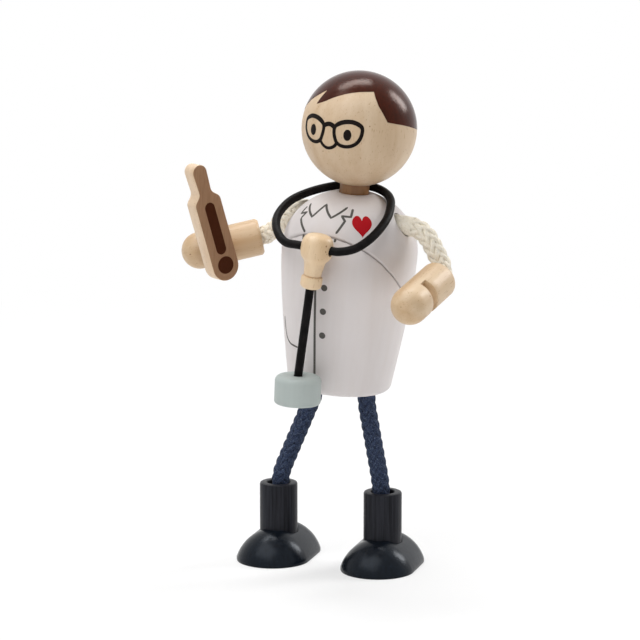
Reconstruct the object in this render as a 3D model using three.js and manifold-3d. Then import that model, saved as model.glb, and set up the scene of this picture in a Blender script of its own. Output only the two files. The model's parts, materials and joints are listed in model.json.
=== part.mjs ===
// A turned wooden doll with bendable rope limbs, a toy stethoscope and a toy thermometer.
// Millimetres, +Z up. The doll faces -Y, and its left hand is on the +X side.
import * as THREE from 'three';
import { mergeVertices } from 'three/addons/utils/BufferGeometryUtils.js';
import Module from 'manifold-3d';

const wasm = await Module();
wasm.setup();

const degrees = Math.PI / 180;
const clearance = 0.3;

// Torso: a turned barrel with a domed shoulder, sawn through on a slant
const torsoLean = 4.8 * degrees;
const torsoSideways = -2.28;
const hemRadius = 13.6;
const hemRounding = 2;
const bellyRise = 26.6;
const shoulderRadius = 17.6;
const shoulderHeight = 36.4;
const shoulderDome = 15.6;
const collarRadius = 5;
const seamTilt = 45 * degrees;
const seamHeight = 26;
const seamGap = 0.35;
const waistPinRadius = 3;
const waistPinLength = 15;
const waistPinForward = 1.3;
const collarHeight = shoulderHeight + shoulderDome * Math.sqrt(1 - (collarRadius / shoulderRadius) ** 2);

// Head and neck
const headRadius = 14.8;
const neckRadius = 3.8;
const neckShow = 2.34;
const headAboveNeck = Math.sqrt(headRadius ** 2 - neckRadius ** 2);
const headHeight = collarHeight + neckShow + headAboveNeck;
const neckPegInTorso = 3;
const neckPegInHead = 7;

// Rope limbs with a wire core
const armRopeRadius = 2.45;
const legRopeRadius = 2.3;
const wireRadius = 0.6;
const armHoleRise = 8.6;
const armHoleHeight = shoulderHeight + armHoleRise;
const legHoleSpread = 7.4;
const legHoleShift = 0.7;
const legHoleDepth = 10;
const leftShoulderLead = 3;
const rightWristLead = 0.3;
const leftWristLead = 1.3;

// Hands: dowels with a domed tip and a saw kerf that grips accessories
const handRadius = 4.85;
const handLength = 16.5;
const handRim = 0.6;
const handSocketDepth = 7;
const kerfFromTip = 4.84;
const kerfWidth = 2.57;
const kerfDepth = 5.5;
const rightReach = new THREE.Vector3(-9.74, 2.2, -9.7);
const rightHandAim = new THREE.Vector3(-0.812, -0.508, -0.285).normalize();
const rightKerfAim = new THREE.Vector3(0.547, -0.834, -0.068);
const leftReach = new THREE.Vector3(6.86, -3.27, -11.61);
const leftHandAim = new THREE.Vector3(-0.017, -0.965, -0.262).normalize();
const leftKerfAim = new THREE.Vector3(1, 0, -0.45);

// Boots: a bored dowel glued into a loaf-shaped shoe
const bootRadius = 5;
const bootHeight = 20;
const legShow = 27;
const bootRim = 0.5;
const bootSocketRadius = 3.1;
const bootSocketDepth = 8;
const ankleLean = 0.65;
const shoeLength = 28.8;
const shoeWidth = 19.4;
const shoeHeight = 7.9;
const shoeSlope = 7;
const shoeSideHeight = 5.8;
const shoeSideSlope = 1.7;
const shoeWelt = 0.8;
const shoeFloor = 2.5;
const toeTurn = 10 * degrees;
const rightFoot = new THREE.Vector3(-18.8, -2.65, 0);
const leftFoot = new THREE.Vector3(10.4, 0.2, 0);

// Stethoscope: a cord loop, a turned yoke, a hanging cord and a round chest piece
const cordRadius = 1.1;
const loopLead = 1.6;
const yokeKnobRadius = 4.1;
const yokeGap = 0.05;
const yokeRise = 3.6;
const yokePlace = new THREE.Vector3(
  1.3,
  -shoulderRadius - yokeGap - yokeKnobRadius,
  shoulderHeight + yokeRise,
);
const yokeAim = new THREE.Vector3(0.1, 0, 1).normalize();
const yokeKnobHeight = 7.2;
const yokeBand = 1.1;
const yokeRounding = 0.7;
const yokeCrown = 2;
const yokeNeckTop = 2.75;
const yokeNeckFoot = 2.25;
const yokeNeckLength = 3.6;
const yokeBeadRadius = 2.75;
const yokeBeadHeight = 3.3;
const yokeBeadRounding = 1.1;
const yokeGroove = 0.35;
const cordDrop = 21.3;
const cordDropAim = new THREE.Vector3(-0.07, 0.01, -1).normalize();
const chestPieceAim = new THREE.Vector3(-0.04, 0, 1).normalize();
const chestPieceGap = 0.45;
const chestPieceRadius = 5.95;
const chestPieceHeight = 7.3;
const chestPieceRounding = 1.4;
const chestPieceRim = 0.7;

// Thermometer: a flat bottle-shaped plate with a tongue that fits the right hand's kerf
const thermometerLength = 32;
const thermometerWidth = 7.8;
const thermometerThickness = 4.6;
const thermometerNeckWidth = 4.2;
const thermometerNeckWaist = 3.75;
const thermometerNeckLength = 7;
const thermometerShoulder = 3.6;
const thermometerTurn = 27.7 * degrees;
const thermometerTilt = 2.8 * degrees;
const thermometerRise = 9.53;
const thermometerSetOut = 0.75;
const thermometerGap = 0.6;
const tongueHeight = 6;
const plateHalfDepth = (thermometerWidth * Math.sin(thermometerTurn)
  + thermometerThickness * Math.cos(thermometerTurn)) / 2;
const thermometerStandOff = handRadius + thermometerGap + plateHalfDepth;

const paint = (color, roughness, metalness = 0) =>
  new THREE.MeshStandardMaterial({ color, roughness, metalness });
const beech = paint('#dfc5a0', 0.55);
const coatPaint = paint('#dcd6d1', 0.45);
const creamRope = paint('#e6dfc8', 0.95);
const navyRope = paint('#2f3850', 0.95);
const steelWire = paint('#9a9c9e', 0.35, 1);
const bootPaint = paint('#23242a', 0.3);
const blackCord = paint('#151515', 0.5);
const chestPiecePaint = paint('#a9b8b5', 0.5);
const thermometerPaint = paint('#8d6b52', 0.6);

const part = new THREE.Group();
const torso = new THREE.Group();
torso.position.set(torsoSideways, 0, bootHeight + legShow);
torso.rotation.y = torsoLean;
part.add(torso);
part.updateMatrixWorld(true);

// Solids

function closedGeometry(geometry) {
  const bare = geometry.index ? geometry.toNonIndexed() : geometry.clone();
  bare.deleteAttribute('normal');
  bare.deleteAttribute('uv');
  return mergeVertices(bare, 1e-4);
}

function solidOf(geometry) {
  const closed = closedGeometry(geometry);
  const triangles = Array.from(closed.index.array);
  const vertProperties = Float32Array.from(closed.attributes.position.array);
  const kept = [];
  for (let i = 0; i < triangles.length; i += 3) {
    const [a, b, c] = triangles.slice(i, i + 3);
    if (a !== b && b !== c && c !== a) kept.push(a, b, c);
  }
  const triVerts = Uint32Array.from(kept);
  return new wasm.Manifold(new wasm.Mesh({ numProp: 3, vertProperties, triVerts }));
}

function geometryOf(solid) {
  const mesh = solid.getMesh();
  const geometry = new THREE.BufferGeometry();
  geometry.setAttribute('position', new THREE.BufferAttribute(Float32Array.from(mesh.vertProperties), 3));
  geometry.setIndex(new THREE.BufferAttribute(Uint32Array.from(mesh.triVerts), 1));
  geometry.computeVertexNormals();
  return geometry;
}

const cut = (geometry, ...tools) =>
  geometryOf(tools.reduce((solid, tool) => solid.subtract(solidOf(tool)), solidOf(geometry)));
const join = (geometry, ...others) =>
  geometryOf(others.reduce((solid, other) => solid.add(solidOf(other)), solidOf(geometry)));

// A turned shape about Z: the profile runs upwards, as [radius, height] points
function turned(profile, sides) {
  const points = profile.map(([radius, height]) => new THREE.Vector2(radius, height));
  return new THREE.LatheGeometry(points, sides).rotateX(Math.PI / 2);
}

function rod(radius, length, sides) {
  return turned([[0, 0], [radius, 0], [radius, length], [0, length]], sides);
}

const aimFrom = new THREE.Vector3(0, 0, 1);
const turnTo = (aim) => new THREE.Quaternion().setFromUnitVectors(aimFrom, aim.clone().normalize());

function placed(geometry, start, aim) {
  return geometry.applyQuaternion(turnTo(aim)).translate(start.x, start.y, start.z);
}

function addMesh(group, name, geometry, material) {
  const mesh = new THREE.Mesh(geometry, material);
  mesh.name = name;
  group.add(mesh);
}

const step = (start, aim, distance) => start.clone().addScaledVector(aim, distance);

// Rope: a bored tube with a flat foot, and a round nose where it bends on a hinge point
const ropeSides = 14;
const noseSteps = 4;

function ropeTube(radius, length, hasNose) {
  const bore = wireRadius + clearance;
  const profile = [[bore, length], [bore, 0], [radius, 0], [radius, length]];
  if (hasNose) {
    const last = Math.acos(bore / radius);
    for (let i = 1; i <= noseSteps; i += 1) {
      const angle = (last * i) / noseSteps;
      profile.push([radius * Math.cos(angle), length + radius * Math.sin(angle)]);
    }
    profile[0] = profile.at(-1);
  } else {
    profile.push([bore, length]);
  }
  return turned(profile, ropeSides);
}

const wireSides = 8;

// A stretch of rope whose nose turns on hinge and whose flat foot is at foot
function addRope(group, name, radius, foot, hinge, material) {
  const aim = hinge.clone().sub(foot);
  const length = aim.length();
  addMesh(group, `${name}_rope`, placed(ropeTube(radius, length, true), foot, aim), material);
  addMesh(group, `${name}_wire`, placed(rod(wireRadius, length, wireSides), foot, aim), steelWire);
}

// The gap from a hinge point to the flat foot of the stretch before it
const bendGap = (radius) => radius + clearance;

// Torso

const torsoSides = 44;
const hemSteps = 3;
const flankSteps = 9;
const domeSteps = 9;

function torsoProfile() {
  const profile = [[0, 0]];
  for (let i = 0; i <= hemSteps; i += 1) {
    const angle = (i / hemSteps) * (Math.PI / 2);
    const inset = hemRounding * (1 - Math.sin(angle));
    profile.push([hemRadius - inset, hemRounding * (1 - Math.cos(angle))]);
  }
  const flank = new THREE.QuadraticBezierCurve(
    new THREE.Vector2(hemRadius, hemRounding),
    new THREE.Vector2(shoulderRadius, bellyRise),
    new THREE.Vector2(shoulderRadius, shoulderHeight),
  );
  flank.getPoints(flankSteps).slice(1).forEach((point) => profile.push([point.x, point.y]));
  const domeEnd = Math.acos(collarRadius / shoulderRadius);
  for (let i = 1; i <= domeSteps; i += 1) {
    const angle = (domeEnd * i) / domeSteps;
    profile.push([shoulderRadius * Math.cos(angle), shoulderHeight + shoulderDome * Math.sin(angle)]);
  }
  profile.push([0, collarHeight]);
  return profile;
}

function domeRadiusAt(height) {
  return shoulderRadius * Math.sqrt(1 - ((height - shoulderHeight) / shoulderDome) ** 2);
}

const seamNormal = new THREE.Vector3(0, Math.sin(seamTilt), Math.cos(seamTilt));
const waistHeight = seamHeight + waistPinForward * Math.tan(seamTilt);
const waistCentre = new THREE.Vector3(0, -waistPinForward, waistHeight);

// A block with one face on the seam, on the side that aim points to
function seamBlock(aim, sawHalf) {
  const size = 2 * (shoulderRadius + collarHeight);
  const block = new THREE.BoxGeometry(size, size, size).translate(0, 0, size / 2 - sawHalf);
  return placed(block, waistCentre, aim);
}

const up = new THREE.Vector3(0, 0, 1);
const armBoreRadius = armRopeRadius + clearance;
const legBoreRadius = legRopeRadius + clearance;
const boreSides = 20;
const borePast = 1;
const neckFoot = new THREE.Vector3(0, 0, collarHeight - neckPegInTorso);
const across = new THREE.Vector3(1, 0, 0);
const legHoles = {
  right: new THREE.Vector3(legHoleShift - legHoleSpread, 0, 0),
  left: new THREE.Vector3(legHoleShift + legHoleSpread, 0, 0),
};

function waistBore() {
  const length = waistPinLength + 2 * clearance;
  const bore = rod(waistPinRadius + clearance, length, boreSides).translate(0, 0, -length / 2);
  return placed(bore, waistCentre, seamNormal);
}

function addTorso() {
  const whole = turned(torsoProfile(), torsoSides);
  const armBore = rod(armBoreRadius, 2 * (shoulderRadius + borePast), boreSides);
  const armBoreStart = new THREE.Vector3(-shoulderRadius - borePast, 0, armHoleHeight);
  const neckBore = rod(neckRadius + clearance, neckPegInTorso + clearance + borePast, boreSides);
  const upper = cut(
    whole,
    seamBlock(seamNormal.clone().negate(), seamGap / 2),
    placed(armBore, armBoreStart, across),
    placed(neckBore, step(neckFoot, up, -clearance), up),
    waistBore(),
  );
  const legBores = Object.values(legHoles).map((hole) =>
    placed(rod(legBoreRadius, legHoleDepth + borePast, boreSides), step(hole, up, -borePast), up));
  const lower = cut(whole, seamBlock(seamNormal, seamGap / 2), waistBore(), ...legBores);
  addMesh(torso, 'torso_upper', upper, coatPaint);
  addMesh(torso, 'torso_lower', lower, coatPaint);
  const pin = rod(waistPinRadius, waistPinLength, boreSides).translate(0, 0, -waistPinLength / 2);
  addMesh(torso, 'waist_pin', placed(pin, waistCentre, seamNormal), beech);
}

// Head: a turned ball on a neck peg

const headSides = 40;
const headRings = 24;

function addHead() {
  const pegTop = headHeight - headAboveNeck + neckPegInHead;
  const ball = new THREE.SphereGeometry(headRadius, headSides, headRings).rotateX(Math.PI / 2);
  ball.translate(0, 0, headHeight);
  const socketLength = headRadius + borePast;
  const socket = rod(neckRadius + clearance, socketLength, boreSides);
  const socketFoot = new THREE.Vector3(0, 0, pegTop + clearance - socketLength);
  addMesh(torso, 'head', cut(ball, placed(socket, socketFoot, up)), beech);
  const peg = rod(neckRadius, pegTop - neckFoot.z, boreSides);
  addMesh(torso, 'neck_peg', placed(peg, neckFoot, up), beech);
}

// Arms

const handSides = 24;
const handDomeSteps = 6;

function handBlank() {
  const profile = [[0, 0], [handRadius - handRim, 0], [handRadius, handRim], [handRadius, handLength]];
  for (let i = 1; i < handDomeSteps; i += 1) {
    const angle = (i / handDomeSteps) * (Math.PI / 2);
    profile.push([handRadius * Math.cos(angle), handLength + handRadius * Math.sin(angle)]);
  }
  profile.push([0, handLength + handRadius]);
  const socketLength = handSocketDepth + clearance + borePast;
  const socket = rod(armBoreRadius, socketLength, boreSides).translate(0, 0, -borePast);
  return cut(turned(profile, handSides), socket);
}

const kerfCentre = handLength - kerfFromTip;

// Axes of a hand: along it, out of its kerf, and along the kerf
function handAxes(aim, kerfAim) {
  const out = kerfAim.clone().addScaledVector(aim, -kerfAim.dot(aim)).normalize();
  const along = new THREE.Vector3().crossVectors(aim, out);
  return new THREE.Matrix4().makeBasis(out, along, aim);
}

function addArm(side, shoulder, sleeveReach, wristLead, aim, kerfAim) {
  const sleeve = shoulder.clone().add(sleeveReach);
  const wrist = step(sleeve, aim, -bendGap(armRopeRadius) - wristLead);
  const armAim = wrist.clone().sub(shoulder).normalize();
  const foot = step(wrist, armAim, -bendGap(armRopeRadius));
  addRope(torso, `${side}_arm`, armRopeRadius, foot, shoulder, creamRope);
  addRope(torso, `${side}_wrist`, armRopeRadius, step(sleeve, aim, handSocketDepth), wrist, creamRope);
  const kerf = new THREE.BoxGeometry(2 * kerfDepth, 2 * handRadius + borePast, kerfWidth);
  kerf.translate(handRadius, 0, kerfCentre);
  const frame = handAxes(aim, kerfAim).setPosition(sleeve);
  addMesh(torso, `${side}_hand`, cut(handBlank(), kerf).applyMatrix4(frame), beech);
  return frame;
}

const armHoleReach = domeRadiusAt(armHoleHeight);
const shoulderReach = armHoleReach + bendGap(armRopeRadius);
const shoulders = {
  right: new THREE.Vector3(-shoulderReach, 0, armHoleHeight),
  left: new THREE.Vector3(shoulderReach + leftShoulderLead, 0, armHoleHeight),
};

// One rope runs through the shoulders from hole to hole
function addShoulderRope() {
  const length = 2 * armHoleReach + leftShoulderLead;
  const start = new THREE.Vector3(-armHoleReach, 0, armHoleHeight);
  addMesh(torso, 'shoulder_rope', placed(ropeTube(armRopeRadius, length, false), start, across), creamRope);
  addMesh(torso, 'shoulder_wire', placed(rod(wireRadius, length, wireSides), start, across), steelWire);
}

// Legs

const shoeEndSteps = 12;
const shoeSideSteps = 7;

// Rings of the shoe's outline, each drawn in and up along the curve of its side
function shoeGeometry() {
  const ridge = shoeLength / 2 - shoeWidth / 2;
  const side = new THREE.QuadraticBezierCurve(
    new THREE.Vector2(0, shoeWelt),
    new THREE.Vector2(shoeSideSlope, shoeSideHeight),
    new THREE.Vector2(shoeSlope, shoeHeight),
  );
  const rings = [new THREE.Vector2(0, 0), ...side.getPoints(shoeSideSteps)];
  const count = 2 * (shoeEndSteps + 1);
  const corners = [];
  rings.forEach(({ x: inset, y: height }) => {
    for (let i = 0; i < count; i += 1) {
      const end = i <= shoeEndSteps ? 1 : -1;
      const angle = ((i % (shoeEndSteps + 1)) / shoeEndSteps) * Math.PI + (end > 0 ? 0 : Math.PI);
      const radius = shoeWidth / 2 - inset;
      corners.push(radius * Math.cos(angle), end * ridge + radius * Math.sin(angle), height);
    }
  });
  corners.push(0, 0, 0, 0, 0, shoeHeight);
  const foot = rings.length * count;
  const faces = [];
  for (let i = 0; i < count; i += 1) {
    const next = (i + 1) % count;
    faces.push(foot, next, i);
    for (let ring = 0; ring < rings.length - 1; ring += 1) {
      const low = ring * count;
      const high = low + count;
      faces.push(low + i, low + next, high + next, low + i, high + next, high + i);
    }
    faces.push(foot + 1, foot - count + i, foot - count + next);
  }
  const loaf = new THREE.BufferGeometry();
  loaf.setAttribute('position', new THREE.Float32BufferAttribute(corners, 3));
  loaf.setIndex(faces);
  const socket = rod(bootRadius + clearance, bootHeight, handSides).translate(0, 0, shoeFloor);
  return cut(loaf, socket);
}

function bootShaft() {
  const foot = shoeFloor + clearance;
  const profile = [[0, foot], [bootRadius, foot], [bootRadius, bootHeight - bootRim],
    [bootRadius - bootRim, bootHeight], [0, bootHeight]];
  const socket = rod(bootSocketRadius, bootSocketDepth + borePast, boreSides);
  return cut(turned(profile, handSides), socket.translate(0, 0, bootHeight - bootSocketDepth));
}

function addLeg(side, foot) {
  const gap = bendGap(legRopeRadius);
  const hole = torso.localToWorld(legHoles[side].clone());
  const down = torso.localToWorld(new THREE.Vector3(0, 0, -1)).sub(torso.position);
  const hip = step(hole, down, gap);
  const bootMouth = step(foot, up, bootHeight + gap);
  const hipward = hip.clone().sub(bootMouth).projectOnPlane(up).normalize();
  const ankle = step(bootMouth, hipward, ankleLean);
  const reach = ankle.clone().sub(hip).normalize();
  const upBore = down.clone().negate();
  const depth = legHoleDepth - clearance;
  const tube = ropeTube(legRopeRadius, depth, false);
  addMesh(part, `${side}_hip_rope`, placed(tube, hole, upBore), navyRope);
  addMesh(part, `${side}_hip_wire`, placed(rod(wireRadius, depth, wireSides), hole, upBore), steelWire);
  addRope(part, `${side}_leg`, legRopeRadius, step(ankle, reach, -gap), hip, navyRope);
  const bootSeat = step(foot, up, bootHeight - bootSocketDepth + clearance);
  addRope(part, `${side}_ankle`, legRopeRadius, bootSeat, ankle, navyRope);
  const shoe = shoeGeometry().rotateZ(toeTurn).translate(foot.x, foot.y, foot.z);
  addMesh(part, `${side}_boot_shaft`, bootShaft().translate(foot.x, foot.y, foot.z), bootPaint);
  addMesh(part, `${side}_shoe`, shoe, bootPaint);
}

// Stethoscope

// The loop's route from the yoke's right side round the neck and back, chosen by hand:
// sideways and backwards in shoulder radii, upwards from the shoulder in dome heights
const loopRoute = [
  [-0.443, -1.193, 0.224], [-0.602, -1.091, 0.276], [-0.756, -0.932, 0.378], [-0.864, -0.733, 0.487],
  [-0.903, -0.511, 0.603], [-0.875, -0.273, 0.725], [-0.761, -0.045, 0.830], [-0.580, 0.136, 0.915],
  [-0.352, 0.278, 0.990], [-0.085, 0.352, 1.022], [0.182, 0.330, 1.018], [0.409, 0.222, 0.978],
  [0.580, 0.034, 0.916], [0.693, -0.205, 0.814], [0.761, -0.455, 0.692], [0.761, -0.716, 0.538],
  [0.710, -0.955, 0.397], [0.602, -1.136, 0.288],
];
const loopPoints = loopRoute.map(([sideways, backwards, upwards]) => new THREE.Vector3(
  sideways * shoulderRadius,
  backwards * shoulderRadius,
  shoulderHeight + upwards * shoulderDome,
));
const loopSteps = 44;
const cordSides = 8;

function loopGeometry() {
  const knobSide = yokeKnobRadius + clearance;
  const route = new THREE.CatmullRomCurve3([
    step(yokePlace, across, -knobSide),
    step(yokePlace, across, -knobSide - loopLead),
    ...loopPoints,
    step(yokePlace, across, knobSide + loopLead),
    step(yokePlace, across, knobSide),
  ]);
  const section = new THREE.Shape();
  for (let i = 0; i < cordSides; i += 1) {
    const angle = (i / cordSides) * 2 * Math.PI;
    const corner = [cordRadius * Math.cos(angle), cordRadius * Math.sin(angle)];
    if (i === 0) section.moveTo(...corner);
    else section.lineTo(...corner);
  }
  return new THREE.ExtrudeGeometry(section, { steps: loopSteps, extrudePath: route });
}

const yokeFoot = -yokeKnobHeight / 2 - yokeNeckLength - yokeBeadHeight;

function yokeGeometry() {
  const half = yokeKnobHeight / 2;
  const neckFootHeight = -half - yokeNeckLength;
  return turned([
    [0, yokeFoot],
    [yokeBeadRadius - yokeBeadRounding, yokeFoot],
    [yokeBeadRadius, yokeFoot + yokeBeadRounding],
    [yokeBeadRadius, neckFootHeight - yokeGroove],
    [yokeNeckFoot - yokeGroove, neckFootHeight],
    [yokeNeckFoot, neckFootHeight + yokeGroove],
    [yokeNeckTop, -half],
    [yokeKnobRadius - yokeRounding, -half + yokeRounding],
    [yokeKnobRadius, -yokeBand],
    [yokeKnobRadius, yokeBand],
    [yokeKnobRadius - yokeRounding, half - yokeRounding],
    [yokeKnobRadius - yokeCrown, half],
    [0, half],
  ], handSides);
}

const chestPieceSides = 32;
const chestPieceRoundSteps = 4;

function chestPieceGeometry() {
  const profile = [[0, 0], [chestPieceRadius - chestPieceRim, 0],
    [chestPieceRadius, chestPieceRim], [chestPieceRadius, chestPieceHeight - chestPieceRounding]];
  for (let i = 1; i <= chestPieceRoundSteps; i += 1) {
    const angle = (i / chestPieceRoundSteps) * (Math.PI / 2);
    profile.push([
      chestPieceRadius - chestPieceRounding * (1 - Math.cos(angle)),
      chestPieceHeight - chestPieceRounding * (1 - Math.sin(angle)),
    ]);
  }
  profile.push([0, chestPieceHeight]);
  return turned(profile, chestPieceSides);
}

function addStethoscope() {
  addMesh(torso, 'stethoscope_loop', loopGeometry(), blackCord);
  addMesh(torso, 'stethoscope_yoke', placed(yokeGeometry(), yokePlace, yokeAim), beech);
  const swing = step(yokePlace, yokeAim, yokeFoot - bendGap(cordRadius));
  const cordFoot = step(swing, cordDropAim, cordDrop);
  const profile = [[0, 0], [cordRadius, 0], [cordRadius, cordDrop]];
  for (let i = 1; i < noseSteps; i += 1) {
    const angle = (i / noseSteps) * (Math.PI / 2);
    profile.push([cordRadius * Math.cos(angle), cordDrop + cordRadius * Math.sin(angle)]);
  }
  profile.push([0, cordDrop + cordRadius]);
  const upwards = cordDropAim.clone().negate();
  addMesh(torso, 'stethoscope_cord', placed(turned(profile, cordSides), cordFoot, upwards), blackCord);
  const puckFoot = step(cordFoot, chestPieceAim, -chestPieceGap - chestPieceHeight);
  addMesh(torso, 'chest_piece', placed(chestPieceGeometry(), puckFoot, chestPieceAim), chestPiecePaint);
}

// Thermometer, in the right hand's axes: x out of the kerf, y along the kerf, z along the hand

function thermometerOutline() {
  const half = thermometerWidth / 2;
  const neck = thermometerNeckWidth / 2;
  const waist = thermometerNeckWaist / 2;
  const foot = -thermometerLength / 2 + half;
  const tip = thermometerLength / 2 - neck;
  const neckFootHeight = thermometerLength / 2 - thermometerNeckLength;
  const shoulder = neckFootHeight - thermometerShoulder;
  const bend = (shoulder + neckFootHeight) / 2;
  const outline = new THREE.Shape();
  outline.absarc(0, foot, half, Math.PI, 2 * Math.PI, false);
  outline.lineTo(half, shoulder);
  outline.bezierCurveTo(half, bend, waist, bend, waist, neckFootHeight);
  outline.absarc(0, tip, neck, 0, Math.PI, false);
  outline.lineTo(-waist, neckFootHeight);
  outline.bezierCurveTo(-waist, bend, -half, bend, -half, shoulder);
  return outline;
}

const plateCurveSteps = 8;

function addThermometer(frame) {
  const plate = new THREE.ExtrudeGeometry(thermometerOutline(), {
    depth: thermometerThickness,
    bevelEnabled: false,
    curveSegments: plateCurveSteps,
  }).translate(0, 0, -thermometerThickness / 2);
  plate.rotateZ(thermometerTilt).rotateY(Math.PI / 2 + thermometerTurn);
  plate.translate(thermometerStandOff, thermometerRise, kerfCentre + thermometerSetOut);
  const kerfFloor = handRadius - kerfDepth + clearance;
  const tongueLength = thermometerStandOff - kerfFloor;
  const tongue = new THREE.BoxGeometry(tongueLength, tongueHeight, kerfWidth - 2 * clearance);
  tongue.translate(kerfFloor + tongueLength / 2, 0, kerfCentre);
  addMesh(torso, 'thermometer', join(plate, tongue).applyMatrix4(frame), thermometerPaint);
}

addTorso();
addHead();
addShoulderRope();
const rightHandFrame = addArm('right', shoulders.right, rightReach, rightWristLead, rightHandAim, rightKerfAim);
addArm('left', shoulders.left, leftReach, leftWristLead, leftHandAim, leftKerfAim);
addThermometer(rightHandFrame);
addLeg('right', rightFoot);
addLeg('left', leftFoot);

// The doll stands centred on its origin, measured without the stethoscope that hangs on it
part.updateMatrixWorld(true);
const dollBox = new THREE.Box3().setFromObject(part, true);
const dollMiddle = dollBox.getCenter(new THREE.Vector3());
part.position.set(-dollMiddle.x, -dollMiddle.y, -dollBox.min.z);
addStethoscope();
part.updateMatrixWorld(true);

export default part;
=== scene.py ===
# Looks of the wooden doll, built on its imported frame. Sizes are in millimetres until they meet the mesh
import json
import math

import bpy
from mathutils import Matrix, Vector


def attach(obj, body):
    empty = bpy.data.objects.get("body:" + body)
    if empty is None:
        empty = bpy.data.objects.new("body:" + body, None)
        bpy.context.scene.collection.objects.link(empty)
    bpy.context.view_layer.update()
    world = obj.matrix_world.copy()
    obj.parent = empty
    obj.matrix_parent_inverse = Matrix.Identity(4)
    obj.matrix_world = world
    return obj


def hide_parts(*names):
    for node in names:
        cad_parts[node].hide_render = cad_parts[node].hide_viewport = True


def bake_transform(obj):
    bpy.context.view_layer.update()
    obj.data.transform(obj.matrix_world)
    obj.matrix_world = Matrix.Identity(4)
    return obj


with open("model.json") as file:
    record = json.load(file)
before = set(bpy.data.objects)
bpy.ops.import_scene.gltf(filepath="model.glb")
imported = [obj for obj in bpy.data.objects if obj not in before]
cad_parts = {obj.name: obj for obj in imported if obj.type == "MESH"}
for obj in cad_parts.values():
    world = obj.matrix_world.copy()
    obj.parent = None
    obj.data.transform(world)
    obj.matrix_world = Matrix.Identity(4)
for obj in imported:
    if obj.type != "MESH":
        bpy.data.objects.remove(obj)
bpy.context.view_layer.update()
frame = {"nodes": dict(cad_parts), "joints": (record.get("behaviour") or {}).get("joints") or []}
mm = 0.001

stance = {"foot": (3.953, 3.22, 47), "lean": 4.8}  # the torso's foot, and its lean in degrees
torsoPlace = Matrix.Translation(stance["foot"]) @ Matrix.Rotation(math.radians(stance["lean"]), 4, "Y")


def onTorso(x, y, z):
    return torsoPlace @ Vector((x, y, z))


def aimOnTorso(x, y, z):
    return (torsoPlace.to_3x3() @ Vector((x, y, z))).normalized()


# The turn of a camera or a lamp that looks at a place
def facing(at, target):
    return (Vector(target) - Vector(at)).to_track_quat("-Z", "Y").to_euler()


# Camera

view = {"at": (334.775, -657.029, 201.277), "target": (-0.016, 0.036, 64.6), "lens": 162.4, "sensor": 36}

bpy.ops.object.camera_add(location=Vector(view["at"]) * mm)
camera = bpy.context.object
camera.rotation_euler = facing(view["at"], view["target"])
camera.data.lens = view["lens"]
camera.data.sensor_width = view["sensor"]
bpy.context.scene.camera = camera
print("camera set")

# Hand tools

tool = {"merge": 0.001, "bitSides": 48, "edgeSegments": 2, "smoothUnder": 32, "breakOver": 40}


def startClean():
    bpy.ops.object.select_all(action="DESELECT")


def pick(piece):
    startClean()
    piece.select_set(True)
    bpy.context.view_layer.objects.active = piece


# What was just added, under its name
def newest(name):
    piece = bpy.context.object
    piece.name = name
    return piece


def editAll():
    bpy.ops.object.mode_set(mode="EDIT")
    bpy.ops.mesh.select_all(action="SELECT")


def leaveEdit():
    bpy.ops.object.mode_set(mode="OBJECT")


def place(piece, matrix):
    pick(piece)
    turn = matrix.copy()
    turn.translation = turn.translation * mm
    piece.matrix_world = turn
    bpy.ops.object.transform_apply(location=True, rotation=True, scale=True)


def smooth(piece, angle=tool["smoothUnder"]):
    pick(piece)
    bpy.ops.object.shade_smooth_by_angle(angle=math.radians(angle))


# Turns all faces outwards, after points closer than the merge reach are joined
def closeUp(piece, merge=0):
    pick(piece)
    editAll()
    if merge:
        bpy.ops.mesh.remove_doubles(threshold=merge * mm)
    bpy.ops.mesh.normals_make_consistent(inside=False)
    leaveEdit()


# Even shares of a run, from just after its start to its end
def shares(count):
    return [i / count for i in range(1, count + 1)]


# The value at a share of the way from p to r, drawn towards q
def bendAt(t, p, q, r):
    return (1 - t) ** 2 * p + 2 * t * (1 - t) * q + t * t * r


# How far along a line each of its points is
def runAlong(points):
    run = [0.0]
    for p, q in zip(points, points[1:]):
        run.append(run[-1] + (q - p).length)
    return run


# Points round an arc from one angle to another, in degrees
def arc(centre, radii, start, end, steps):
    turns = [math.radians(start + (end - start) * i / steps) for i in range(steps + 1)]
    return [(centre[0] + radii[0] * math.cos(a), centre[1] + radii[1] * math.sin(a)) for a in turns]


# A turned piece: the profile of (radius, height) points is extruded out and spun about Z
def turnOnLathe(name, profile, steps):
    startClean()
    bpy.ops.mesh.primitive_plane_add(size=mm)
    piece = newest(name)
    editAll()
    bpy.ops.mesh.merge(type="CENTER")
    bpy.ops.transform.translate(value=(profile[0][0] * mm, 0, profile[0][1] * mm))
    for (r0, h0), (r1, h1) in zip(profile, profile[1:]):
        bpy.ops.mesh.extrude_vertices_move(
            TRANSFORM_OT_translate={"value": ((r1 - r0) * mm, 0, (h1 - h0) * mm)}
        )
    bpy.ops.mesh.select_all(action="SELECT")
    bpy.ops.mesh.spin(steps=steps, angle=2 * math.pi, center=(0, 0, 0), axis=(0, 0, 1))
    leaveEdit()
    closeUp(piece, tool["merge"])
    return piece


# A sawn block, its middle at the given place
def sawBlock(size, at):
    startClean()
    bpy.ops.mesh.primitive_cube_add(size=1)
    piece = bpy.context.object
    piece.scale = Vector(size) * mm
    piece.location = Vector(at) * mm
    bpy.ops.object.transform_apply(location=True, rotation=True, scale=True)
    return piece


def cutAway(piece, cutter):
    pick(piece)
    cut = piece.modifiers.new("cut", "BOOLEAN")
    cut.operation = "DIFFERENCE"
    cut.object = cutter
    bpy.ops.object.modifier_apply(modifier="cut")
    bpy.data.objects.remove(cutter)


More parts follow.
